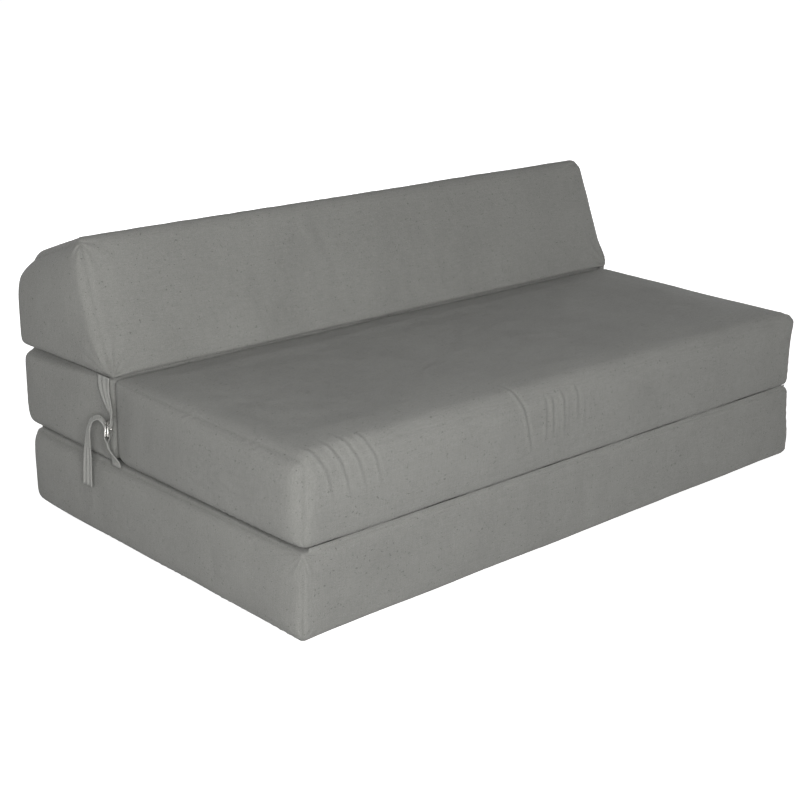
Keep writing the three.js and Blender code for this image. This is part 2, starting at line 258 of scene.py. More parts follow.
def metal(name, color):
    material, shader = new_material(name, color, 0.25)
    n = Nodes(material)
    shader.inputs["Metallic"].default_value = 1.0
    wear = n.noise(260, 3.0, 0.6)
    n.join(n.span(wear, 0.3, 0.7, 0.16, 0.34), shader.inputs["Roughness"])
    n.join(n.tint(color, n.span(n.noise(60, 3.0, 0.6), 0.3, 0.7, 0.86, 1.06)), shader.inputs["Base Color"])
    n.join(n.bump(n.noise(700, 2.0, 0.5), 0.0002, 0.35), shader.inputs["Normal"])
    return material


COVER_COLOR = (0.232, 0.232, 0.217)
add_camera()
add_stage()
COVER = cotton("cover_cotton", COVER_COLOR)
WEBBING = cotton("strap_cotton", (0.345, 0.345, 0.325), thread=0.0009)
TAPE = cotton("zip_tape_weave", (0.16, 0.16, 0.15), thread=0.0007)
NICKEL = metal("nickel", (0.66, 0.65, 0.62))
TEETH = metal("zip_teeth", (0.30, 0.30, 0.29))
FOAM = cotton("foam_cells", (0.80, 0.76, 0.64), thread=0.003)


# ---------------------------------------------------------------- padded blocks
def corners(node):
    low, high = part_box(node)
    return np.array(low), np.array(high)


TOUCH = 0.0004                  # how far a block grows into the gap above or below it
BASE_LOW, BASE_HIGH = corners("base_cover")
SEAT_LOW, SEAT_HIGH = corners("seat_cover")
RISER_LOW, RISER_HIGH = corners("riser_cover")
BACK_LOW, BACK_HIGH = corners("back_cover")
BASE_HIGH[2] += TOUCH
SEAT_LOW[2] -= TOUCH
RISER_LOW[2] -= TOUCH
RISER_HIGH[2] += TOUCH
BACK_LOW[2] -= TOUCH / 2
# The CAD's backrest has a rounded foot, which sets its box back from where the foot's edge is.
BACK_LOW[1] = RISER_LOW[1]
EDGE_STEPS = (0.0, 0.0035, 0.0075, 0.0125, 0.019, 0.027, 0.036)


def graded(low, high, step):
    """Positions from low to high, closer together near both ends."""
    inner = high - low - 2 * EDGE_STEPS[-1]
    count = max(2, round(inner / step))
    middle = [low + EDGE_STEPS[-1] + inner * i / count for i in range(1, count)]
    return np.array([low + s for s in EDGE_STEPS] + middle + [high - s for s in reversed(EDGE_STEPS)])


def lattice(xs, ys, zs):
    """The surface of a box as a net of quads: vertices at the positions given, and faces."""
    size = (len(xs), len(ys), len(zs))
    index, places, faces = {}, [], []

    def vertex(i, j, k):
        if (i, j, k) not in index:
            index[(i, j, k)] = len(places)
            places.append((xs[i], ys[j], zs[k]))
        return index[(i, j, k)]

    for axis in range(3):
        a, b = (axis + 1) % 3, (axis + 2) % 3
        for end in (0, size[axis] - 1):
            for u in range(size[a] - 1):
                for v in range(size[b] - 1):
                    ring = []
                    for du, dv in ((0, 0), (1, 0), (1, 1), (0, 1)):
                        cell = [0, 0, 0]
                        cell[axis], cell[a], cell[b] = end, u + du, v + dv
                        ring.append(vertex(*cell))
                    faces.append(ring if end else ring[::-1])
    return np.array(places), faces


def bilinear(four, t, u):
    """four = values at (front, bottom), (rear, bottom), (rear, top), (front, top)."""
    return ((1 - t) * (1 - u) * four[0] + t * (1 - u) * four[1] + t * u * four[2] + (1 - t) * u * four[3])


def shares(p, low, high):
    """How far each point lies along x, y and z of its block, from 0 to 1."""
    return ((p - low) / (high - low)).T


def round_edges(p, low, high, radii, end_radii):
    """Rounds a box's edges: radii for the four long edges, end_radii where they meet the end panels."""
    _, t, u = shares(p, low, high)
    long_radius = bilinear(radii, t, u)
    end_radius = bilinear(end_radii, t, u)
    middle = (low + high) / 2
    half = (high - low) / 2
    reach = np.column_stack([end_radius, long_radius, long_radius])
    sign = np.sign(p - middle)
    q = np.clip((np.abs(p - middle) - half + reach) / reach, 0, 1)
    s = q * q
    turned = np.column_stack([
        q[:, 0] * np.sqrt(1 - s[:, 1] / 2 - s[:, 2] / 2 + s[:, 1] * s[:, 2] / 3),
        q[:, 1] * np.sqrt(1 - s[:, 2] / 2 - s[:, 0] / 2 + s[:, 2] * s[:, 0] / 3),
        q[:, 2] * np.sqrt(1 - s[:, 0] / 2 - s[:, 1] / 2 + s[:, 0] * s[:, 1] / 3),
    ])
    return p + sign * (turned - q) * reach


def crown(share, flatness):
    """1 in the middle of a face and 0 at its edges; a higher flatness keeps it full for longer."""
    return 1 - np.abs(2 * share - 1) ** flatness


def plump(places, rest, low, high, ends, front, rear, top, along=None, fullness=(5, 5)):
    """Swells the faces into crowns, each by its own height in metres. along gives the ends' share
    of that height at (front, a quarter back, middle, three quarters back, rear), and fullness is
    how full the ends stay towards their (bottom, top) edges."""
    s, t, u = shares(rest, low, high)
    out = places.copy()
    end_share = np.abs(2 * s - 1)
    taper = np.interp(t, np.linspace(0, 1, 5), along or (0.75, 0.9, 1.0, 1.1, 1.25))
    full = np.where(u < 0.5, crown(u, fullness[0]), crown(u, fullness[1]))
    out[:, 0] += np.sign(s - 0.5) * ends * taper * crown(t, 16) * full * end_share ** 14
    out[:, 1] -= front * crown(s, 60) * crown(u, 2.2) * (1 - t) ** 6
    out[:, 1] += rear * crown(s, 60) * crown(u, 2.2) * t ** 6
    out[:, 2] += top * crown(s, 16) * crown(t, 12) * u ** 6
    return out


def nudge(places, rest, centre, reach, shift):
    """Moves what lies within about reach of a point of the block, most at that point itself."""
    near = np.exp(-(np.linalg.norm(rest - np.array(centre), axis=1) / reach) ** 2)
    return places + near[:, None] * np.array(shift)


def seam_distance(p, low, high):
    """Distance over the surface to the nearest edge of an end panel."""
    from_end = np.minimum(p[:, 0] - low[0], high[0] - p[:, 0])
    from_rim = np.minimum.reduce([p[:, 1] - low[1], high[1] - p[:, 1], p[:, 2] - low[2], high[2] - p[:, 2]])
    return from_end + from_rim


def rim_distance(p, low, high):
    """Distance over the surface to the nearest edge of any face."""
    to_face = np.sort(np.minimum(p - low, high - p), axis=1)
    return to_face[:, 0] + to_face[:, 1]


def mesh_object(name, places, faces, material):
    mesh = bpy.data.meshes.new(name)
    mesh.from_pydata([tuple(p) for p in places], [], faces)
    mesh.materials.append(material)
    mesh.shade_smooth()
    thing = bpy.data.objects.new(name, mesh)
    SCENE.collection.objects.link(thing)
    return thing


def places_of(mesh):
    flat = np.empty(len(mesh.vertices) * 3)
    mesh.vertices.foreach_get("co", flat)
    return flat.reshape(-1, 3)


def normals_of(mesh):
    flat = np.empty(len(mesh.vertices) * 3)
    mesh.vertices.foreach_get("normal", flat)
    return flat.reshape(-1, 3)


def set_places(mesh, places):
    mesh.vertices.foreach_set("co", np.ascontiguousarray(places).ravel())
    mesh.update()


def store(mesh, name, values):
    kind, key = ("FLOAT_VECTOR", "vector") if values.ndim > 1 else ("FLOAT", "value")
    attribute = mesh.attributes.get(name) or mesh.attributes.new(name, kind, "POINT")
    attribute.data.foreach_set(key, np.ascontiguousarray(values, dtype=np.float32).ravel())


def stored_places(mesh, name):
    flat = np.empty(len(mesh.vertices) * 3, dtype=np.float32)
    mesh.attributes[name].data.foreach_get("vector", flat)
    return flat.reshape(-1, 3).astype(float)


def apply_modifiers(thing):
    graph = bpy.context.evaluated_depsgraph_get()
    shown = thing.evaluated_get(graph)
    mesh = bpy.data.meshes.new_from_object(shown, preserve_all_data_layers=True, depsgraph=graph)
    old = thing.data
    thing.modifiers.clear()
    thing.data = mesh
    mesh.name = thing.name
    bpy.data.meshes.remove(old)


SIM_FRAMES = 14
PRESSURE = 0.7


def inflate(thing, hold, cap):
    """Cloth under inner pressure, pulled back towards the foam by hold (0 to 1 at each vertex).
    No point moves further than cap."""
    start = places_of(thing.data)
    levels = np.round(hold, 2)
    group = thing.vertex_groups.new(name="hold")
    for level in np.unique(levels):
        group.add(np.nonzero(levels == level)[0].tolist(), float(level), "REPLACE")
    modifier = thing.modifiers.new("cloth", "CLOTH")
    settings = modifier.settings
    settings.quality = 5
    settings.mass = 0.35
    settings.tension_stiffness = 12
    settings.compression_stiffness = 12
    settings.shear_stiffness = 4
    settings.bending_stiffness = 0.1
    settings.air_damping = 2.0
    settings.vertex_group_mass = "hold"
    settings.pin_stiffness = 0.6
    settings.shrink_min = -0.004
    settings.use_pressure = True
    settings.uniform_pressure_force = PRESSURE
    settings.effector_weights.gravity = 0
    modifier.collision_settings.use_collision = False
    modifier.collision_settings.use_self_collision = False
    modifier.point_cache.frame_start = 1
    modifier.point_cache.frame_end = SIM_FRAMES
    for number in range(1, SIM_FRAMES + 1):
        SCENE.frame_set(number)
    graph = bpy.context.evaluated_depsgraph_get()
    settled = places_of(thing.evaluated_get(graph).data)
    thing.modifiers.clear()
    thing.vertex_groups.clear()
    SCENE.frame_set(1)
    move = settled - start
    length = np.linalg.norm(move, axis=1)
    limit = cap * np.tanh(length / cap)
    set_places(thing.data, start + move * (limit / np.maximum(length, 1e-9))[:, None])


HOLD_WEAK = 0.14
HOLD_STRONG = 0.5
HOLD_REACH = 0.035


def held(rest, low, high):
    """The foam holds the cover firmly along the block's edges and weakly on its faces."""
    near = np.exp(-((rim_distance(rest, low, high) / HOLD_REACH) ** 2))
    return HOLD_WEAK + (HOLD_STRONG - HOLD_WEAK) * near


def press(thing, axis, limit, side, soft=0.002):
    """Flattens what lies beyond a plane: side 1 keeps points below limit, -1 above it."""
    places = places_of(thing.data)
    beyond = side * (places[:, axis] - limit)
    pushed = np.where(beyond > -soft, -soft + soft * np.tanh((beyond + soft) / soft), beyond)
    places[:, axis] = limit + side * pushed
    set_places(thing.data, places)


FLATTEN_FADE = 0.02


def flatten_ends(thing, y_low, y_high, limit):
    """Keeps the end panels within limit of the middle from y_low to y_high, where the strap lies."""
    places = places_of(thing.data)
    y = places[:, 1]
    inside = smooth_step((y - y_low) / FLATTEN_FADE + 1) * smooth_step((y_high - y) / FLATTEN_FADE + 1)
    beyond = np.maximum(np.abs(places[:, 0]) - limit, 0)
    places[:, 0] -= np.sign(places[:, 0]) * beyond * inside
    set_places(thing.data, places)


def smooth_step(value):
    value = np.clip(value, 0, 1)
    return value * value * (3 - 2 * value)


def smooth_noise(p, size, seed):
    """Soft noise between about -1 and 1, with lumps of the given size."""
    shift = Vector((seed * 7.3, seed * 3.1, seed * 5.7))
    return np.array([noise.noise(Vector(q) / size + shift) for q in p])


ZIP_HALF_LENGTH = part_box("base_zip_tape")[1][0]
ZIP_VALLEY_ACROSS = 0.014
ZIP_VALLEY_ALONG = 0.02
ZIP_CLEAR = 0.0002


def zip_valley(thing, rest, node):
    """Draws the cover in along its zip, so that the tape lies on it."""
    low, high = corners(node)
    level = (low[2] + high[2]) / 2
    half = (high[2] - low[2]) / 2
    places = places_of(thing.data)
    across = np.maximum(np.abs(rest[:, 2] - level) - half, 0) / ZIP_VALLEY_ACROSS
    along = np.maximum(np.abs(rest[:, 0]) - ZIP_HALF_LENGTH, 0) / ZIP_VALLEY_ALONG
    pull = np.exp(-(across ** 2 + along ** 2)) * (rest[:, 1] > rest[:, 1].max() - 1e-6)
    beyond = places[:, 1] - (low[1] - ZIP_CLEAR)
    places[:, 1] -= beyond * pull
    set_places(thing.data, places)


def block(name, low, high, radii, end_radii, xs, step):
    rest, faces = lattice(xs, graded(low[1], high[1], step), graded(low[2], high[2], step))
    thing = mesh_object(name, round_edges(rest, low, high, radii, end_radii), faces, COVER)
    store(thing.data, "rest_place", rest)
    return thing, rest


SEAM_DEPTH = 0.0004
SEAM_WIDTH = 0.0030
# Width of the painted shade along the seams.
SEAM_PAINTED_SHADE_WIDTH = 0.0022
LUMPS = ((0.0013, 0.16, 1), (0.0004, 0.045, 2))     # height, size and seed of the unevenness


def finish_block(thing, low, high, detail, even=3):
    """Evened out and subdivided, then the seams, creases and unevenness, in rest coordinates, and the
    weight of the painted shade along the seams for the cover's colour.
    """
    smooth = thing.modifiers.new("even", "SMOOTH")
    smooth.factor = 0.5
    smooth.iterations = even
    thing.modifiers.new("smooth", "SUBSURF").levels = 1
    apply_modifiers(thing)
    mesh = thing.data
    rest = stored_places(mesh, "rest_place")
    places, normals = places_of(mesh), normals_of(mesh)
    seam = seam_distance(rest, low, high)
    groove = -SEAM_DEPTH * np.exp(-((seam / SEAM_WIDTH) ** 2))
    lumps = sum(height * smooth_noise(places, size, seed) for height, size, seed in LUMPS)
    lift = groove + lumps + puckers(rest, low, high) + detail(rest)
    set_places(mesh, places + normals * lift[:, None])
    # Painted shade: how strongly the cover's colour is darkened near each seam, read by the cover's
    # material.
    store(mesh, "seam", np.exp(-((seam / SEAM_PAINTED_SHADE_WIDTH) ** 2)))
    mesh.attributes.remove(mesh.attributes["rest_place"])
    mesh.shade_smooth()


PUCKER_PITCH = 0.019
PUCKER_DEPTH = 0.0007
PUCKER_OFF = 0.008              # from the seam to the middle of the gathers
PUCKER_WIDTH = 0.010


def puckers(rest, low, high):
    """Small gathers along the seams of the end panels, strongest where soft noise says so."""
    seam = seam_distance(rest, low, high)
    run = rest[:, 1] + rest[:, 2]
    strength = np.clip(smooth_noise(rest, 0.09, 5) * 2.2, 0, 1)
    near = np.exp(-(((seam - PUCKER_OFF) / PUCKER_WIDTH) ** 2))
    return PUCKER_DEPTH * near * strength * np.sin(2 * math.pi * run / PUCKER_PITCH)


FOLD_WIDTH = 0.0048


def nose_fold(rest, x, lean, upper, lower, depth):
    """One fold over the seat's nose, from upper behind the top front edge to lower below it.
    lean is how far it drifts along x on the way. It is a soft ridge with a sharper valley beside it."""
    on_front = rest[:, 1] < SEAT_LOW[1] + 1e-6
    on_top = rest[:, 2] > SEAT_HIGH[2] - 1e-6
    below_edge = np.where(on_front, SEAT_HIGH[2] - rest[:, 2], SEAT_LOW[1] - rest[:, 1])
    share = (below_edge + upper) / (upper + lower)
    off = (rest[:, 0] - x - lean * share) / FOLD_WIDTH
    ends = smooth_step(share * 4) * smooth_step((1 - share) * 4)
    profile = np.exp(-(off ** 2)) - 0.9 * np.exp(-((off - 1.7) ** 2))
    return depth * profile * ends * (on_front | on_top)


# The seat cover's folds: one long, a group of short ones to the right of it, and some by the left end.
LONG_FOLD = {"x": -0.20, "lean": 0.05, "upper": 0.06, "lower": 0.12, "depth": 0.0021}
SHORT_FOLDS = {"first": -0.12, "count": 9, "spacing": 0.013, "upper": 0.005, "lower": 0.105}
SHORT_FOLD_DEPTH = 0.0021
END_FOLDS = {"first": -0.66, "count": 4, "spacing": 0.035, "upper": 0.05, "lower": 0.09}
END_FOLD_DEPTH = 0.0013


def seat_detail(rest):
    lift = nose_fold(rest, **LONG_FOLD)
    for i in range(SHORT_FOLDS["count"]):
        wander = math.sin(2.4 * i)
        x = SHORT_FOLDS["first"] + SHORT_FOLDS["spacing"] * (i + 0.4 * wander)
        depth = SHORT_FOLD_DEPTH * (1 - 0.08 * i) * (0.75 + 0.25 * wander)
        upper = SHORT_FOLDS["upper"] - 0.012 * (i % 3)
        lower = SHORT_FOLDS["lower"] - 0.014 * (i % 4)
        lift += nose_fold(rest, x, 0.004 + 0.004 * wander, upper, lower, depth)
    for i in range(END_FOLDS["count"]):
        x = END_FOLDS["first"] + END_FOLDS["spacing"] * i
        lift += nose_fold(rest, x, 0.04, END_FOLDS["upper"], END_FOLDS["lower"], END_FOLD_DEPTH)
    right_end = (SEAT_HIGH[0], SEAT_LOW[1], SEAT_HIGH[2])
    return lift + fan(rest, right_end, 14, 0.0010, 0.028)


def fan(rest, centre, count, depth, reach):
    """Short gathers that run out from a sewn corner."""
    off = rest - np.array(centre)
    distance = np.linalg.norm(off, axis=1)
    angle = np.arctan2(off[:, 2], np.abs(off[:, 0]) + np.abs(off[:, 1]) + 1e-9)
    fade = np.exp(-((distance / reach) ** 2)) * np.clip(distance / 0.012, 0, 1)
    return depth * np.sin(count * angle + 0.6) * fade


def corner_fans(rest, low, y, z, count, depth, reach):
    return sum(fan(rest, (x, y, z), count, depth, reach) for x in (low[0], -low[0]))


def base_detail(rest):
    low, high = BASE_LOW, BASE_HIGH
    return (corner_fans(rest, low, low[1], high[2], 16, 0.0015, 0.045)
            + corner_fans(rest, low, low[1], low[2], 12, 0.0012, 0.030))


def riser_detail(rest):
    return corner_fans(rest, RISER_LOW, RISER_LOW[1], RISER_LOW[2], 10, 0.0008, 0.04)


def back_detail(rest):
    return (corner_fans(rest, BACK_LOW, BACK_LOW[1], BACK_LOW[2], 16, 0.0032, 0.040)
            + corner_fans(rest, BACK_LOW, BACK_LOW[1], BACK_BOX_TOP, 9, 0.0020, 0.036))


STEP = 0.012                    # of the lattice, front to rear and up
COVER_CAP = 0.005               # how far the cloth simulation may move a cover
BACK_CAP = 0.006
FOLD_BULGE = 0.0035             # how far a face may bulge where another block folds against it
GAP_BULGE = 0.0030              # and in the gap between the seat and the riser
TAB_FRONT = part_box("buckle_tab_left")[0][1] - 0.003
STRAP_REAR = 0.168              # how far back the strap lies against the riser's end
SEAT_REAR_LIFT = 0.0015         # how far the seat's top rises again at its rear edge
BACK_FOOT = 0.0090              # how far the backrest's front foot is drawn forward


def keep_above_floor(thing):
    places = places_of(thing.data)
    places[:, 2] = np.maximum(places[:, 2], 0)
    set_places(thing.data, places)


def make_base():
    low, high = BASE_LOW, BASE_HIGH
    radii, end_radii = (0.012, 0.036, 0.022, 0.010), (0.010, 0.022, 0.012, 0.007)
    thing, rest = block("base_block", low, high, radii, end_radii, graded(low[0], high[0], 0.014), STEP)
    swollen = plump(places_of(thing.data), rest, low, high, ends=0.015, front=0.003, rear=0.003, top=0)
    right_foot, right_top = (high[0], low[1], low[2] + 0.03), (high[0], low[1], high[2])
    swollen = nudge(swollen, rest, right_foot, reach=0.055, shift=(0.017, -0.001, 0))
    swollen = nudge(swollen, rest, right_top, reach=0.030, shift=(-0.004, 0, 0))
    set_places(thing.data, swollen)
    inflate(thing, held(rest, low, high), COVER_CAP)
    press(thing, 2, low[2], -1, 0.001)
    press(thing, 2, high[2], 1, 0.001)
    press(thing, 1, low[1] - FOLD_BULGE, -1, 0.003)
    press(thing, 1, high[1] + FOLD_BULGE, 1, 0.003)
    zip_valley(thing, rest, "base_zip_tape")
    finish_block(thing, low, high, base_detail)
    keep_above_floor(thing)
    return thing


def make_seat():
    low, high = SEAT_LOW, SEAT_HIGH
    radii, end_radii = (0.014, 0.030, 0.004, 0.032), (0.018, 0.008, 0.020, 0.026)
    xs = graded(low[0], high[0], 0.0056)
    thing, rest = block("seat_block", low, high, radii, end_radii, xs, STEP * 0.85)
    swollen = plump(places_of(thing.data), rest, low, high, ends=0.014, front=0.003, rear=0.003,
                    top=0.011, along=(1.0, 1.0, 1.0, 0.75, 0.05), fullness=(9, 4))
    _, t, u = shares(rest, low, high)
    swollen[:, 2] += SEAT_REAR_LIFT * smooth_step((t - 0.9) / 0.1) * u ** 6
    right_nose = (high[0], low[1], high[2])
    swollen = nudge(swollen, rest, right_nose, reach=0.032, shift=(0.010, -0.004, 0.004))
    set_places(thing.data, swollen)
    inflate(thing, held(rest, low, high), COVER_CAP)
    press(thing, 2, low[2], -1, 0.001)
    press(thing, 1, low[1] - FOLD_BULGE, -1, 0.003)
    press(thing, 1, high[1] + GAP_BULGE, 1, 0.001)
    flatten_ends(thing, TAB_FRONT, high[1], SEAT_HIGH[0] - 0.001)
    zip_valley(thing, rest, "seat_zip_tape")
    finish_block(thing, low, high, seat_detail, even=12)
    return thing


def make_riser():
    low, high = RISER_LOW, RISER_HIGH
    radii, end_radii = (0.014, 0.024, 0.012, 0.008), (0.008, 0.016, 0.012, 0.007)
    thing, rest = block("riser_block", low, high, radii, end_radii, graded(low[0], high[0], 0.014), STEP)
    swollen = plump(places_of(thing.data), rest, low, high, ends=0.018, front=0.002, rear=0.003,
                    top=0, along=(0.0, 0.25, 0.7, 1.0, 1.2), fullness=(4, 14))
    set_places(thing.data, swollen)
    inflate(thing, held(rest, low, high), COVER_CAP)
    press(thing, 2, low[2], -1, 0.001)
    press(thing, 2, high[2], 1, 0.001)
    press(thing, 1, low[1] - GAP_BULGE + 0.0004, -1, 0.001)
    flatten_ends(thing, low[1], STRAP_REAR, RISER_HIGH[0] - 0.001)
    press(thing, 1, high[1] + FOLD_BULGE, 1, 0.003)
    zip_valley(thing, rest, "riser_zip_tape")
    finish_block(thing, low, high, riser_detail)
    return thing


# The backrest is a box bent into a wedge: heights of its two top edges, before their rounding.
BACK_BOX_TOP = BACK_LOW[2] + 0.2
BACK_FRONT_TOP = (BACK_LOW[1] + 0.088, BACK_LOW[2] + 0.240)
BACK_REAR_TOP = (BACK_HIGH[1] + 0.016, BACK_LOW[2] + 0.168)


def wedge(places, low, high):
    _, t, u = shares(places, low, high)
    out = places.copy()
    out[:, 1] = bilinear((low[1], high[1], BACK_REAR_TOP[0], BACK_FRONT_TOP[0]), t, u)
    out[:, 2] = bilinear((low[2], low[2], BACK_REAR_TOP[1], BACK_FRONT_TOP[1]), t, u)
    return out


def make_back():
    low = BACK_LOW
    high = np.array([BACK_HIGH[0], BACK_HIGH[1], BACK_BOX_TOP])
    radii, end_radii = (0.010, 0.016, 0.062, 0.024), (0.008, 0.016, 0.032, 0.020)
    thing, rest = block("back_block", low, high, radii, end_radii, graded(low[0], high[0], 0.013), STEP)
    plumped = plump(places_of(thing.data), rest, low, high, ends=0.024, front=0.003, rear=0.013,
                    top=0, along=(0.5, 0.8, 1.0, 1.1, 1.2), fullness=(14, 2.4))
    shaped = wedge(plumped, low, high)
    _, t, u = shares(rest, low, high)
    shaped[:, 1] -= BACK_FOOT * (1 - t) ** 4 * (1 - u) ** 2
    right_foot = (high[0], low[1], low[2])
    shaped = nudge(shaped, rest, right_foot, reach=0.035, shift=(0.006, 0, 0))
    set_places(thing.data, shaped)
    inflate(thing, held(rest, low, high), BACK_CAP)
    zip_valley(thing, rest, "back_zip_tape")
    finish_block(thing, low, high, back_detail)
    return thing


BLOCKS = {"base": make_base(), "seat": make_seat(), "riser": make_riser(), "back": make_back()}
for body, thing in BLOCKS.items():
    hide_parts(f"{body}_cover", f"{body}_foam_core")
    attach(thing, body)
# How far the seat's crown rises above its box: the height that is pressed flat when the seat lies upside
# down on the floor.
SEAT_CROWN = max(0.0005, places_of(BLOCKS["seat"].data)[:, 2].max() - SEAT_HIGH[2])
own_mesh(BLOCKS["seat"])


# ---------------------------------------------------------------- ribbons, rings and zips
def skinned(name, rings, material, closed=False):
    """A solid skinned over rings of points; closed joins the last ring to the first."""
    count, around = len(rings), len(rings[0])
    faces = []
    for i in range(count if closed else count - 1):
        here, there = i * around, ((i + 1) % count) * around
        for j in range(around):
            k = (j + 1) % around
            faces.append((here + j, here + k, there + k, there + j))
    if not closed:
        faces.append(tuple(range(around))[::-1])
        faces.append(tuple((count - 1) * around + j for j in range(around)))
    thing = mesh_object(name, np.concatenate(rings), faces, material)
    bm = bmesh.new()
    bm.from_mesh(thing.data)
    bmesh.ops.recalc_face_normals(bm, faces=bm.faces)
    bm.to_mesh(thing.data)
    bm.free()
    thing.data.shade_smooth()
    return thing


def catmull_rom(points, u):
    """The point at place u, counted in points, on a smooth centripetal curve through points."""
    i = min(int(u), len(points) - 2)
    first = 2 * points[0] - points[1]
    last = 2 * points[-1] - points[-2]
    padded = [first, *points, last]
    p0, p1, p2, p3 = padded[i:i + 4]
    t0 = 0.0
    t1 = t0 + np.linalg.norm(p1 - p0) ** 0.5
    t2 = t1 + np.linalg.norm(p2 - p1) ** 0.5
    t3 = t2 + np.linalg.norm(p3 - p2) ** 0.5
    t = t1 + (t2 - t1) * (u - i)
    a1 = (t1 - t) / (t1 - t0) * p0 + (t - t0) / (t1 - t0) * p1
    a2 = (t2 - t) / (t2 - t1) * p1 + (t - t1) / (t2 - t1) * p2
    a3 = (t3 - t) / (t3 - t2) * p2 + (t - t2) / (t3 - t2) * p3
    b1 = (t2 - t) / (t2 - t0) * a1 + (t - t0) / (t2 - t0) * a2
    b2 = (t3 - t) / (t3 - t1) * a2 + (t - t1) / (t3 - t1) * a3
    return (t2 - t) / (t2 - t1) * b1 + (t - t1) / (t2 - t1) * b2


STRIP_HALF_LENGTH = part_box("front_hinge_strip")[1][0]
STRIP_THICK = 0.0009


def hinge_ribbon(node, face, facing, foot, valley, half):
    """A sewn strip tucked into the seam between two blocks, so that only its valley shows.
    face is the blocks' plane and facing is -1 towards the front and 1 towards the rear. foot and
    valley are how deep its edges and its middle lie behind that plane, and half its half height."""
    low, high = corners(node)
    seam = (low[2] + high[2]) / 2
    rings = []
    for x in np.linspace(-STRIP_HALF_LENGTH, STRIP_HALF_LENGTH, 134):
        outer, inner = [], []
        for share in np.linspace(-1, 1, 11):
            depth = foot + (valley - foot) * (1 - share * share)
            ripple = 0.0003 * math.sin(x * 210 + share) + 0.0003 * math.sin(x * 83)
            y = face - facing * (depth + ripple)
            z = seam + share * half
            outer.append((x, y, z))
            inner.append((x, y - facing * STRIP_THICK, z))
        rings.append(np.array(outer + inner[::-1]))
    thing = skinned(node.replace("strip", "ribbon"), rings, COVER)
    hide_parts(node)
    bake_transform(thing)


hinge_ribbon("front_hinge_strip", BASE_LOW[1], -1, 0.0024, 0.0046, 0.0055)
hinge_ribbon("rear_hinge_strip", BASE_HIGH[1], 1, 0.0080, 0.0115, 0.0060)
hinge_ribbon("back_hinge_strip", RISER_LOW[1], -1, 0.0024, 0.0045, 0.0052)

MM = 0.001
# The strap's middle line, as the CAD model has it, in millimetres and degrees:
# out from the end panel, y, z, turn of its width about the vertical, width.
STRAP_ROUTE = (
    (2, 146, 317, 0, 36),
    (2.6, 145, 295, 0, 34),
    (5.5, 133, 276, 4, 32),
    (10, 117, 262, 14, 28),
    (11.6, 110, 250, 38, 24),
    (13.1, 108.7, 240, 44, 21),
    (14.8, 109.6, 234.5, 44, 20),
    (18, 112, 231.5, 44, 20),
    (21, 114.9, 234.5, 44, 20),
    (23, 117, 241, 44, 21),
    (27, 127, 249, 40, 24),
    (32, 140, 243, 32, 27),
    (34, 149, 222, 24, 28),
    (33, 157, 170, 4, 29),
    (30, 165, 112, 0, 30),
)
STRAP_THICK = 0.0018
STRAP_CUT_WIDTH = 0.036
SIDE = BASE_HIGH[0]


def strap(end, side):
    """The tie strap: a ribbon along its route, gathered into lengthwise folds where it narrows."""
    line = [np.array(row[:3]) * MM for row in STRAP_ROUTE]
    last = len(line) - 1
    rings, length, before = [], 0.0, None
    for u in np.linspace(0, last, 12 * last + 1):
        middle = catmull_rom(line, u)
        ahead = catmull_rom(line, min(u + 0.02, last)) - catmull_rom(line, max(u - 0.02, 0))
        turn = math.radians(np.interp(u, range(last + 1), [row[3] for row in STRAP_ROUTE]))
        half = MM * np.interp(u, range(last + 1), [row[4] for row in STRAP_ROUTE]) / 2
        width = np.array([-math.sin(turn), math.cos(turn), 0])
        normal = np.cross(ahead, width)
        normal /= np.linalg.norm(normal)
        gather = 1 - 2 * half / STRAP_CUT_WIDTH
        if before is not None:
            length += np.linalg.norm(middle - before)
        before = middle
        upper, lower = [], []
        for share in np.linspace(-1, 1, 15):
            pleat = (0.0006 + 0.0026 * gather) * math.cos(2.5 * math.pi * share + 0.4)
            hem = 0.00035 * math.exp(-(((abs(share) - 0.84) / 0.07) ** 2))
            point = middle + width * share * half + normal * pleat
            upper.append(point + normal * (STRAP_THICK / 2 - hem))
            lower.append(point - normal * (STRAP_THICK / 2 - hem))
        ring = np.array(upper + lower[::-1])
        ring[:, 0] = side * (SIDE + ring[:, 0])
        rings.append(ring)
    thing = skinned(f"strap_{end}", rings, WEBBING)
    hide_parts(f"tie_strap_{end}")
    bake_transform(thing)


# The buckle, as the CAD model has it.
BUCKLE_OUT = 0.018
BUCKLE_Y = 0.112
BUCKLE_TURN = math.radians(44)
RING_WIRE = 0.003
RING_HALF_WIDTH = 0.0165
RING_HEIGHT = 0.024
RING_SPACING = 0.0046
RING_BAR_Z = 0.221
RING_BAR_HALF = 0.013


def end_point(side, out, y, z, turn, along, across):
    """A point of the end frame: out from the end panel, with its width turned about the vertical."""
    outward = out + across * math.cos(turn) - along * math.sin(turn)
    rearward = y + across * math.sin(turn) + along * math.cos(turn)
    return side * (SIDE + outward), rearward, z


def ring_line():
    """The D-ring's wire: along its bar and round its arch, as (along, height)."""
    corners_of_bar = [(-RING_BAR_HALF, 0.0), (0.0, 0.0), (RING_BAR_HALF, 0.0)]
    arch = [(RING_HALF_WIDTH * math.cos(a), RING_HEIGHT * math.sin(a))
            for a in np.radians(np.linspace(12, 168, 9))]
    points = [np.array(p) for p in corners_of_bar + arch]
    count = len(points)
    loop = points[-1:] + points + points[:2]
    steps = np.linspace(1, count + 1, 84, endpoint=False)
    return [catmull_rom(loop, u) for u in steps]


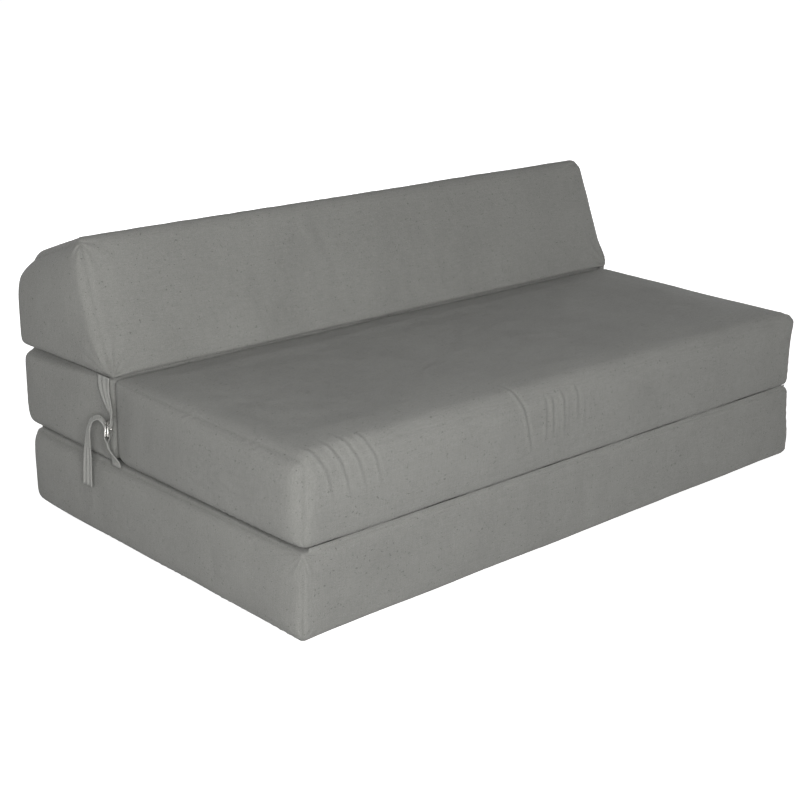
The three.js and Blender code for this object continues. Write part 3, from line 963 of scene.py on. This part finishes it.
def d_ring(end, side, level, slot):
    line = ring_line()
    rings = []
    for i, (along, height) in enumerate(line):
        run = line[(i + 1) % len(line)] - line[i - 1]
        run /= np.linalg.norm(run)
        ring = []
        for angle in np.linspace(0, 2 * math.pi, 12, endpoint=False):
            out, off = RING_WIRE / 2 * math.cos(angle), RING_WIRE / 2 * math.sin(angle)
            z = RING_BAR_Z + height + run[0] * out
            across = off + slot * RING_SPACING / 2
            ring.append(end_point(side, BUCKLE_OUT, BUCKLE_Y, z, BUCKLE_TURN, along - run[1] * out, across))
        rings.append(np.array(ring))
    thing = skinned(f"ring_{level}_{end}", rings, NICKEL, closed=True)
    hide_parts(f"d_ring_{level}_{end}")
    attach(thing, f"ring_{level}_{end}")


TAB_WIDTH = 0.026
TAB_PLY = 0.0012
TAB_FOOT_OUT = 0.0022
TAB_FOOT = BASE_HIGH[2]
TAB_NECK = RING_BAR_Z - 0.014
TAB_SLACK = 0.0011              # between the ribbon's middle line and the wire
TAB_OVER = 0.0026               # how far the ribbon rises over the bars


def tab_section():
    """The tab's ribbon from one foot round the rings' bars to the other, as (across, height)."""
    loop = RING_SPACING / 2 + RING_WIRE / 2 + TAB_SLACK
    heights = np.linspace(TAB_FOOT, TAB_NECK, 12)
    rise = [(loop * smooth_step(s), TAB_NECK + 0.012 * s) for s in np.linspace(0.15, 1, 6)]
    rise = [(TAB_PLY / 2 + a * (1 - TAB_PLY / 2 / loop), z) for a, z in rise]
    over = [(loop * math.cos(a), RING_BAR_Z + TAB_OVER * math.sin(a))
            for a in np.linspace(0, math.pi / 2, 7)]
    half = [(TAB_PLY / 2, z) for z in heights] + rise + over
    return half + [(-a, z) for a, z in half[-2::-1]]


def tab(end, side):
    """A folded ribbon round both rings' bars, sewn into the base's seam, with rounded stitched edges."""
    section = tab_section()
    rings = []
    for i, (across, z) in enumerate(section):
        ahead = np.array(section[min(i + 1, len(section) - 1)]) - np.array(section[max(i - 1, 0)])
        ahead = ahead / np.linalg.norm(ahead)
        t = smooth_step((z - TAB_FOOT) / (TAB_NECK - TAB_FOOT))
        out = TAB_FOOT_OUT + (BUCKLE_OUT - TAB_FOOT_OUT) * t
        faces = []
        for face in (1, -1):
            row = []
            for share in np.linspace(-1, 1, 11):
                hem = 0.85 if 0.74 < abs(share) < 0.9 else 1.0
                offset = face * hem * TAB_PLY * 0.46
                row.append(end_point(side, out, BUCKLE_Y, z - ahead[0] * offset, BUCKLE_TURN * t,
                                     share * TAB_WIDTH / 2, across + ahead[1] * offset))
            faces.append(row if face > 0 else row[::-1])
        rings.append(np.array(faces[0] + faces[1]))
    thing = skinned(f"tab_{end}", rings, WEBBING)
    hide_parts(f"buckle_tab_{end}")
    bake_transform(thing)


for end, side in (("left", -1), ("right", 1)):
    for level, slot in (("inner", -1), ("outer", 1)):
        d_ring(end, side, level, slot)
    strap(end, side)
    tab(end, side)

TOOTH_PITCH = 0.003
TOOTH = (0.00133, 0.0009, 0.0036)   # one tooth: along the zip, proud of the tape, across the zip
TOOTH_SINK = 0.0002             # of a tooth into the tape
TOOTH_OFFSET = 0.0011           # of each row from the zip's middle line
ZIP_MARGIN = 0.005              # of bare tape at each end
TAPE_THICK = 0.0012


def box_faces(first):
    """The six faces of a box whose eight corners start at index first."""
    quads = ((0, 1, 3, 2), (4, 6, 7, 5), (0, 4, 5, 1), (2, 3, 7, 6), (0, 2, 6, 4), (1, 5, 7, 3))
    return [tuple(first + i for i in quad) for quad in quads]


def box_corners(low, high):
    return [(x, y, z) for x in (low[0], high[0]) for y in (low[1], high[1]) for z in (low[2], high[2])]


def zip_teeth(body):
    """Tape with two rows of small interlocked teeth down its middle."""
    node = f"{body}_zip_tape"
    low, high = corners(node)
    level = (low[2] + high[2]) / 2
    outer = low[1] + TAPE_THICK
    places = box_corners(low, (high[0], outer, high[2]))
    faces = box_faces(0)
    count = int((high[0] - low[0] - 2 * ZIP_MARGIN) / TOOTH_PITCH)
    for i in range(2 * count):
        side = 1 if i % 2 else -1
        x = low[0] + ZIP_MARGIN + i * TOOTH_PITCH / 2
        z = level + side * TOOTH_OFFSET
        faces += box_faces(len(places))
        tooth_low = (x, outer - TOOTH_SINK, z - TOOTH[2] / 2)
        tooth_high = (x + TOOTH[0], outer + TOOTH[1], z + TOOTH[2] / 2)
        places += box_corners(tooth_low, tooth_high)
    thing = mesh_object(f"{body}_zip", places, faces, TAPE)
    thing.data.materials.append(TEETH)
    for polygon in thing.data.polygons[6:]:
        polygon.material_index = 1
    thing.data.shade_flat()
    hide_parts(node)
    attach(thing, body)


for body in BLOCKS:
    zip_teeth(body)
    for piece in ("slider", "pull"):
        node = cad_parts[f"{body}_zip_{piece}"]
        bevel = node.modifiers.new("bevel", "BEVEL")
        bevel.width = 0.0003
        bevel.segments = 2
        bevel.limit_method = "ANGLE"
        node.data.materials.clear()
        node.data.materials.append(NICKEL)

# A piece above stands for every other CAD node, so these materials aren't seen.
FINISH = {"cover": COVER, "core": FOAM, "tape": TAPE, "strip": COVER}
for name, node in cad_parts.items():
    if not name.endswith(("slider", "pull")):
        kind = NICKEL if name.startswith("d_ring") else FINISH.get(name.split("_")[-1], WEBBING)
        node.data.materials.clear()
        node.data.materials.append(kind)
